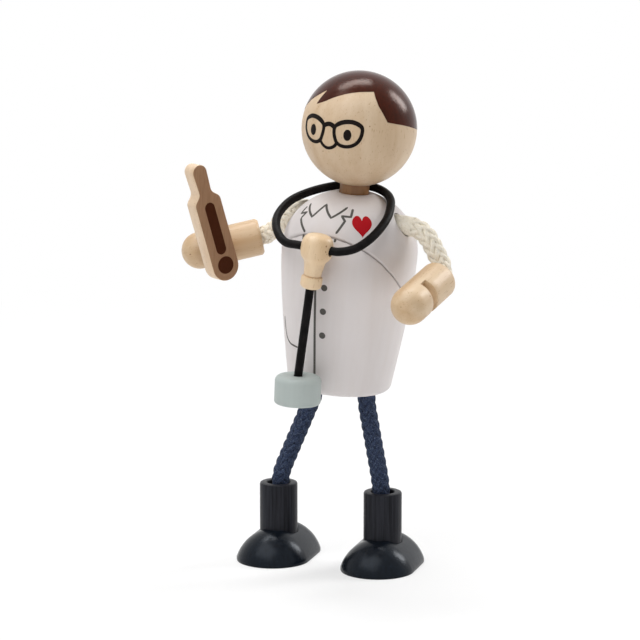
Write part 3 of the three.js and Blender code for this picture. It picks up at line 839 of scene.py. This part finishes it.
neck = {"radius": 3.8, "into": 3.0, "top": 60.6, "edge": 0.3, "steps": 64}
pegFoot, pegTop = collarHeight - neck["into"], neck["top"]
pegEnd = neck["radius"] - neck["edge"]
neckPeg = turnOnLathe("neck_dowel", [
    (0, pegFoot), (pegEnd, pegFoot), (neck["radius"], pegFoot + neck["edge"]),
    (neck["radius"], pegTop - neck["edge"]), (pegEnd, pegTop), (0, pegTop),
], neck["steps"])
place(neckPeg, torsoPlace)
smooth(neckPeg)
dress(neckPeg, neckBeechPaintedShade, "upper_torso", ["neck_peg"])
print("head painted")

# Hands: dowels with a domed tip, a saw kerf and a bored sleeve

hand = {
    "radius": 4.85, "length": 16.5, "rim": 0.6, "socketRadius": 2.75, "socketDepth": 7.3, "drillOver": 1,
    "kerfFromTip": 4.84, "kerfWidth": 2.57, "kerfDepth": 5.5, "edge": 0.2, "steps": 72, "wallSteps": 8,
    "tipSteps": 16,
}
kerfCentre = hand["length"] - hand["kerfFromTip"]
arms = {
    "right": {
        "sleeve": (-27.174, 2.2, 35.3), "aim": (-0.812, -0.508, -0.285), "kerf": (0.547, -0.834, -0.068),
    },
    "left": {"sleeve": (27.294, -3.27, 33.39), "aim": (-0.017, -0.965, -0.262), "kerf": (1, 0, -0.45)},
}


# x out of the kerf, y along the kerf, z along the hand
def handPlace(side):
    aim = Vector(arms[side]["aim"]).normalized()
    kerf = Vector(arms[side]["kerf"])
    out = (kerf - aim * kerf.dot(aim)).normalized()
    turn = Matrix((out, aim.cross(out), aim)).transposed().to_4x4()
    turn.translation = Vector(arms[side]["sleeve"])
    return torsoPlace @ turn


def handPiece(side):
    radius, length, rim, over = hand["radius"], hand["length"], hand["rim"], hand["drillOver"]
    profile = [(0, 0), (radius - rim, 0), (radius, rim)]
    profile += [(radius, rim + (length - rim) * t) for t in shares(hand["wallSteps"])]
    profile += arc((0, length), (radius, radius), 0, 90, hand["tipSteps"])[1:]
    piece = turnOnLathe(side + "_hand_dowel", profile, hand["steps"])
    drill(piece, hand["socketRadius"], (0, 0, -over), up, hand["socketDepth"] + over)
    cutAway(piece, sawBlock((2 * hand["kerfDepth"], 4 * radius, hand["kerfWidth"]), (radius, 0, kerfCentre)))
    breakEdges(piece, hand["edge"])
    place(piece, handPlace(side))
    smooth(piece)
    aim = handPlace(side).to_3x3() @ Vector(up)
    dress(piece, beechWood(side + "BeechDowel", aim), side + "_hand", [side + "_hand"])


for side in arms:
    handPiece(side)
print("hands cut")

# Thermometer: a flat plate sawn to shape, stained on its faces, with a printed capsule and dot

gauge = {
    "length": 32, "width": 7.8, "thickness": 4.6, "neckWidth": 4.2, "neckWaist": 3.75, "neckLength": 7,
    "shoulder": 3.6, "footSteps": 32, "shoulderSteps": 12, "tipSteps": 24, "edge": 0.3, "faceOver": 0.9,
    "turn": 27.7, "tilt": 2.8, "rise": 9.53, "setOut": 0.75, "gap": 0.6, "tongueHeight": 6, "clearance": 0.3,
    "capsule": (-8.7, 5.6), "capsuleRadius": 1.45, "capsuleSteps": 60, "dotAt": -11.8, "dotRadius": 2.3,
    "dotSides": 40,
}
gaugeFace = woodPaint(
    "tanStain", torsoUp, "#9f7a5c", "#936f52", 0.6, grain=0.15, lines=(2.2, 2.2, 0.12), shine=0.3
)
gaugeEdge = beechWood("sawnBeechEdge", torsoUp, "#e6cdb0", "#d8b996")


def gaugeOutline():
    half, neckHalf, waistHalf = gauge["width"] / 2, gauge["neckWidth"] / 2, gauge["neckWaist"] / 2
    foot, tip = -gauge["length"] / 2 + half, gauge["length"] / 2 - neckHalf
    neckFoot = gauge["length"] / 2 - gauge["neckLength"]
    low = neckFoot - gauge["shoulder"]
    shoulder = []
    for t in [0, *shares(gauge["shoulderSteps"])]:
        shoulder.append((
            ((1 - t) ** 3 + 3 * t * (1 - t) ** 2) * half + (3 * t * t * (1 - t) + t ** 3) * waistHalf,
            (1 - t) ** 3 * low + 3 * t * (1 - t) * (low + neckFoot) / 2 + t ** 3 * neckFoot,
        ))
    points = arc((0, foot), (half, half), 180, 360, gauge["footSteps"]) + shoulder
    points += arc((0, tip), (neckHalf, neckHalf), 0, 180, gauge["tipSteps"])
    return points + [(-x, y) for x, y in reversed(shoulder)]


# A flat shape: a filled outline pulled up to its thickness
def flatShape(name, outline, thickness):
    startClean()
    bpy.ops.mesh.primitive_circle_add(vertices=len(outline), radius=1, fill_type="NGON")
    piece = newest(name)
    for vertex, (x, y) in zip(piece.data.vertices, outline):
        vertex.co = (x * mm, y * mm, -thickness / 2 * mm)
    editAll()
    bpy.ops.mesh.extrude_region_move(TRANSFORM_OT_translate={"value": (0, 0, thickness * mm)})
    leaveEdit()
    closeUp(piece)
    return piece


turned = math.radians(gauge["turn"])
plateDepth = (gauge["width"] * math.sin(turned) + gauge["thickness"] * math.cos(turned)) / 2
standOff = hand["radius"] + gauge["gap"] + plateDepth
platePlace = (
    handPlace("right") @ Matrix.Translation((standOff, gauge["rise"], kerfCentre + gauge["setOut"]))
    @ Matrix.Rotation(math.radians(90 + gauge["turn"]), 4, "Y")
    @ Matrix.Rotation(math.radians(gauge["tilt"]), 4, "Z")
)

plate = flatShape("thermometer_plate", gaugeOutline(), gauge["thickness"])
breakEdges(plate, gauge["edge"])
plate.data.materials.append(gaugeFace)
plate.data.materials.append(gaugeEdge)
for polygon in plate.data.polygons:
    polygon.material_index = 0 if abs(polygon.normal.z) > gauge["faceOver"] else 1
place(plate, platePlace)
smooth(plate)
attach(plate, "thermometer")
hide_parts("thermometer")

kerfFloor = hand["radius"] - hand["kerfDepth"] + gauge["clearance"]
tongueLength = standOff - kerfFloor
tongue = sawBlock(
    (tongueLength, gauge["tongueHeight"], hand["kerfWidth"] - 2 * gauge["clearance"]),
    (kerfFloor + tongueLength / 2, 0, kerfCentre),
)
tongue.name = "thermometer_tongue"
breakEdges(tongue, gauge["edge"])
place(tongue, handPlace("right"))
smooth(tongue)
dress(tongue, gaugeEdge, "thermometer")


def plateSurface(x, y):
    return platePlace @ Vector((x, y, gauge["thickness"] / 2)), platePlace.to_3x3() @ Vector(up)


capsulePath = straightPath([(0, height) for height in gauge["capsule"]], gauge["capsuleSteps"])
printLine(
    "thermometer_capsule", capsulePath, plateSurface, 2 * gauge["capsuleRadius"], gaugeInk, "thermometer"
)
printSpot(
    "thermometer_dot", (0, gauge["dotAt"]), ring(gauge["dotRadius"], gauge["dotSides"]), plateSurface,
    gaugeInk, "thermometer",
)
print("thermometer made")

# Boots: a bored dowel set into a loaf-shaped shoe

boot = {
    "radius": 5, "height": 20, "rim": 0.5, "rimSoft": 0.15, "boreRadius": 3.1, "boreDepth": 8, "boreEdge": 0.2,
    "foot": 2.8, "steps": 72, "shoeLength": 28.8, "shoeWidth": 19.4, "shoeSides": 96, "toeTurn": 10,
    "side": [(0, 0.8), (1.7, 5.8), (7, 7.9)], "sideSteps": 18, "glueLine": 0.12, "socketUnder": 0.3,
    "soleEdge": 0.3, "soleBreak": 60, "smoothUnder": 40,
}
feet = {"right": (-12.567, 0.57, 0), "left": (16.633, 3.42, 0)}


def shaftPiece(side):
    top, radius, rim, bore = boot["height"], boot["radius"], boot["rim"], boot["boreRadius"]
    soft, edge, boreFoot = boot["rimSoft"], boot["boreEdge"], boot["height"] - boot["boreDepth"]
    profile = [
        (0, boot["foot"]), (radius, boot["foot"]), (radius, top - rim), (radius - soft, top - soft),
        (radius - rim, top), (bore + edge, top), (bore, top - edge), (bore, boreFoot), (0, boreFoot),
    ]
    piece = turnOnLathe(side + "_boot_dowel", profile, boot["steps"])
    place(piece, Matrix.Translation(feet[side]))
    smooth(piece)
    dress(piece, shaftPaint, side + "_foot", [side + "_boot_shaft"])


def shoePiece(side):
    startClean()
    half = boot["shoeWidth"] / 2
    bpy.ops.mesh.primitive_circle_add(vertices=boot["shoeSides"], radius=half * mm, fill_type="NGON")
    piece = newest(side + "_shoe_loaf")
    ridge = boot["shoeLength"] / 2 - half
    for vertex in piece.data.vertices:
        if abs(vertex.co.y) > tool["merge"] * mm:
            vertex.co.y += math.copysign(ridge * mm, vertex.co.y)
    bpy.ops.object.mode_set(mode="EDIT")
    bpy.ops.mesh.select_mode(type="FACE")
    bpy.ops.mesh.select_all(action="SELECT")
    first, bend, last = boot["side"]
    bpy.ops.mesh.extrude_region_move(TRANSFORM_OT_translate={"value": (0, 0, first[1] * mm)})
    before = first
    for t in shares(boot["sideSteps"]):
        now = [bendAt(t, p, q, r) for p, q, r in zip(first, bend, last)]
        bpy.ops.mesh.inset(thickness=(now[0] - before[0]) * mm, depth=(now[1] - before[1]) * mm)
        before = now
    bpy.ops.mesh.select_mode(type="VERT")
    leaveEdit()
    closeUp(piece)
    socketFoot = (0, 0, boot["foot"] - boot["socketUnder"])
    drill(piece, boot["radius"] + boot["glueLine"], socketFoot, up, boot["height"])
    breakEdges(piece, boot["soleEdge"], boot["soleBreak"])
    place(piece, Matrix.Translation(feet[side]) @ Matrix.Rotation(math.radians(boot["toeTurn"]), 4, "Z"))
    smooth(piece, boot["smoothUnder"])
    dress(piece, bootPaint, side + "_foot", [side + "_shoe"])


for side in feet:
    shaftPiece(side)
    shoePiece(side)
print("boots made")

# Ropes: sixteen cotton strands, braided two over and two under round a filling. A limb is two pieces that meet
# between its bends. Each strand is an ellipse, flatter than it is wide

braid = {
    "each": 8, "lay": 30, "core": 1.6, "sides": 10, "bendSteps": 24, "spacing": 0.25, "blendReach": 2.6,
    "smoothUnder": 60, "shortest": 1e-9,
}
armRope = {
    **braid, "strand": 0.62, "path": 1.84, "weave": 0.3, "flat": 0.7, "fillet": 4.2, "root": 11, "into": 5,
}
legRope = {
    **braid, "strand": 0.64, "path": 1.78, "weave": 0.2, "flat": 0.64, "fillet": 2.6, "root": 4, "into": 12.6,
}


# The bent line through the given corners, rounded at each, as even points and the run between two of them
def ropeRoute(corners, rope):
    fillet = rope["fillet"]
    rough = [corners[0]]
    for before, corner, after in zip(corners, corners[1:], corners[2:]):
        start = corner + (before - corner).normalized() * min(fillet, (before - corner).length / 2)
        end = corner + (after - corner).normalized() * min(fillet, (after - corner).length / 2)
        rough += [bendAt(t, start, corner, end) for t in [0, *shares(rope["bendSteps"])]]
    rough.append(corners[-1])
    run = runAlong(rough)
    count = round(run[-1] / rope["spacing"])
    route = []
    index = 0
    for i in range(count + 1):
        at = run[-1] * i / count
        while index < len(run) - 2 and run[index + 1] < at:
            index += 1
        span = max(run[index + 1] - run[index], rope["shortest"])
        route.append(rough[index].lerp(rough[index + 1], min(max((at - run[index]) / span, 0), 1)))
    return route, run[-1] / count


# The way is 1 or -1 for strands that wind one way or the other, and 0 for the filling inside the braid
def braidPiece(name, route, gap, first, last, rope, material):
    end = len(route) - 1
    aims = [(route[min(i + 1, end)] - route[max(i - 1, 0)]).normalized() for i in range(end + 1)]
    side = aims[0].orthogonal().normalized()
    sides = []
    for aim in aims:
        side = (side - aim * side.dot(aim)).normalized()
        sides.append(side)
    lie = math.radians(rope["lay"])
    twist = math.tan(lie) / rope["path"]
    share = 2 * math.pi / rope["each"]
    strands = []
    count = last - first + 1
    for way, strand in [(way, strand) for way in (1, -1) for strand in range(rope["each"])] + [(0, 0)]:
        bpy.ops.mesh.primitive_cylinder_add(vertices=rope["sides"], radius=1, depth=1, end_fill_type="NGON")
        piece = bpy.context.object
        bpy.ops.object.mode_set(mode="EDIT")
        bpy.ops.mesh.select_mode(type="EDGE")
        bpy.ops.mesh.select_all(action="DESELECT")
        leaveEdit()
        for edge in piece.data.edges:
            low, high = (piece.data.vertices[v].co.z for v in edge.vertices)
            edge.select = low * high < 0  # it runs from end to end
        bpy.ops.object.mode_set(mode="EDIT")
        bpy.ops.mesh.subdivide_edgering(number_cuts=count - 2)
        bpy.ops.mesh.select_mode(type="VERT")
        leaveEdit()
        for vertex in piece.data.vertices:
            step = first + round((vertex.co.z + 0.5) * (count - 1))
            along = step * gap
            turn = way * twist * along + strand * share + (0 if way > 0 else share / 2)
            out = sides[step] * math.cos(turn) + aims[step].cross(sides[step]) * math.sin(turn)
            around = aims[step].cross(out)
            if way:
                across = around * math.cos(lie) - aims[step] * (way * math.sin(lie))
                wave = rope["each"] * twist * along / 2 + math.pi * strand
                depth = rope["path"] + rope["weave"] * (math.sin(wave) if way > 0 else -math.cos(wave))
                depth += vertex.co.y * rope["strand"] * rope["flat"]
                reach = vertex.co.x * rope["strand"]
            else:
                across, depth, reach = around, vertex.co.y * rope["core"], vertex.co.x * rope["core"]
            vertex.co = (route[step] + out * depth + across * reach) * mm
        strands.append(piece)
    startClean()
    for piece in strands:
        piece.select_set(True)
    bpy.context.view_layer.objects.active = strands[0]
    bpy.ops.object.join()
    piece = newest(name)
    closeUp(piece)
    smooth(piece, rope["smoothUnder"])
    piece.data.materials.clear()
    piece.data.materials.append(material)
    return piece


# A limb's rope runs from inside the torso round two bends into the hand or the boot
def limbRope(name, corners, rope, material, nodes):
    route, gap = ropeRoute(corners, rope)
    middle = (corners[1] + corners[2]) / 2
    split = min(range(len(route)), key=lambda i: (route[i] - middle).length)
    for number, (first, last) in enumerate(((0, split), (split, len(route) - 1))):
        piece = braidPiece(f"{name}_{number + 1}", route, gap, first, last, rope, material)
        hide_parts(nodes[number])
        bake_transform(piece)


bends = {  # the places of the bends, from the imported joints
    joint["name"]: Vector(joint["pos_m"]) / mm for joint in frame["joints"] if "pos_m" in joint
}
for side, sign, hole in (("right", -1, torso["legHoles"][0]), ("left", 1, torso["legHoles"][1])):
    shoulderRoot = onTorso(sign * armRope["root"], 0, torso["armHole"])
    handEnd = handPlace(side) @ Vector((0, 0, armRope["into"]))
    limbRope(
        side + "_arm_braid", [shoulderRoot, bends[side + "_shoulder"], bends[side + "_wrist"], handEnd],
        armRope, creamCotton,
        [side + "_arm_rope", side + "_wrist_rope"],
    )
    hipRoot = onTorso(hole, 0, legRope["root"])
    bootEnd = Vector(feet[side]) + Vector((0, 0, legRope["into"]))
    limbRope(
        side + "_leg_braid", [hipRoot, bends[side + "_hip"], bends[side + "_ankle"], bootEnd],
        legRope, navyCotton,
        [side + "_leg_rope", side + "_ankle_rope"],
    )
print("ropes braided")

# Pieces that stay as the frame has them, inside the doll: wires, rope roots and the waist's pin

finishes = {"_wire": steelWire, "shoulder_rope": creamCotton, "_hip_rope": navyCotton}
for name, node in frame["nodes"].items():
    if node.hide_render:
        continue
    finish = next((material for ending, material in finishes.items() if name.endswith(ending)), neckBeechPaintedShade)
    for slot in node.material_slots:
        slot.material = finish

# Studio: a pale floor, a bright room and soft lamps, in metres

studio = {
    "floor": 6.0, "card": "#f8f8f8", "light": "#ffffff", "nearGlow": 0.5, "fadeFrom": 0.05, "fadeTo": 0.4,
    "room": 0.23, "aimAt": (0, 0, 0.07),
    "lamps": [  # place, size, watts
        ((-0.12, -0.48, 0.84), (0.9, 0.7), 5.2),
        ((-0.2, 0.22, 0.92), (0.62, 0.2), 4.4),
        ((0.5, 0.72, 0.6), (0.26, 0.45), 4.2),
    ],
}


# 1 where the camera, or a reflection, looks at the background
def seenBackground(tree):
    path = addNode(tree, "LightPath")
    seen = path.outputs["Is Camera Ray"]
    for kind in ("Is Glossy Ray", "Is Transmission Ray"):
        seen = addNode(tree, "Math", {0: seen, 1: path.outputs[kind]}, operation="MAXIMUM").outputs[0]
    return seen


startClean()
bpy.ops.mesh.primitive_plane_add(size=studio["floor"])
floor = newest("studio_floor")
floorMaterial, floorTree, floorShader = newMaterial(
    "whiteCard", {"Roughness": 0.9, "Specular IOR Level": 0.0, "Base Color": hexColour(studio["card"])}
)
glow = addNode(floorTree, "Emission", {"Color": hexColour(studio["light"]), "Strength": 1.0})
middle = addNode(floorTree, "TexCoord").outputs["Object"]
spread = addNode(floorTree, "VectorMath", {0: middle}, operation="LENGTH")
fade = addNode(
    floorTree, "MapRange",
    {"Value": spread.outputs["Value"], "From Min": studio["fadeFrom"], "From Max": studio["fadeTo"],
     "To Min": studio["nearGlow"], "To Max": 1.0},
)
shown = {0: seenBackground(floorTree), 1: fade.outputs["Result"]}
seen = addNode(floorTree, "Math", shown, operation="MULTIPLY")
mix = addNode(floorTree, "MixShader", {0: seen.outputs[0], 1: floorShader.outputs[0], 2: glow.outputs[0]})
floorTree.links.new(mix.outputs[0], floorTree.nodes["Material Output"].inputs["Surface"])
floor.data.materials.append(floorMaterial)

world = bpy.data.worlds.new("whiteRoom")
bpy.context.scene.world = world
world.use_nodes = True
roomTree = world.node_tree
roomTree.nodes.clear()
lit = addNode(roomTree, "Mix", {0: seenBackground(roomTree), 2: studio["room"], 3: 1.0}, data_type="FLOAT")
room = addNode(
    roomTree, "Background", {"Color": hexColour(studio["light"]), "Strength": lit.outputs[0]}
)
addNode(roomTree, "OutputWorld", {"Surface": room.outputs[0]})

for number, (at, size, watts) in enumerate(studio["lamps"]):
    bpy.ops.object.light_add(type="AREA", location=at)
    lamp = newest(f"softbox_{number + 1}")
    lamp.data.shape = "RECTANGLE"
    lamp.data.size, lamp.data.size_y = size
    lamp.data.energy = watts
    lamp.rotation_euler = facing(at, studio["aimAt"])

bpy.context.scene.view_settings.view_transform = "Standard"
print("studio lit")
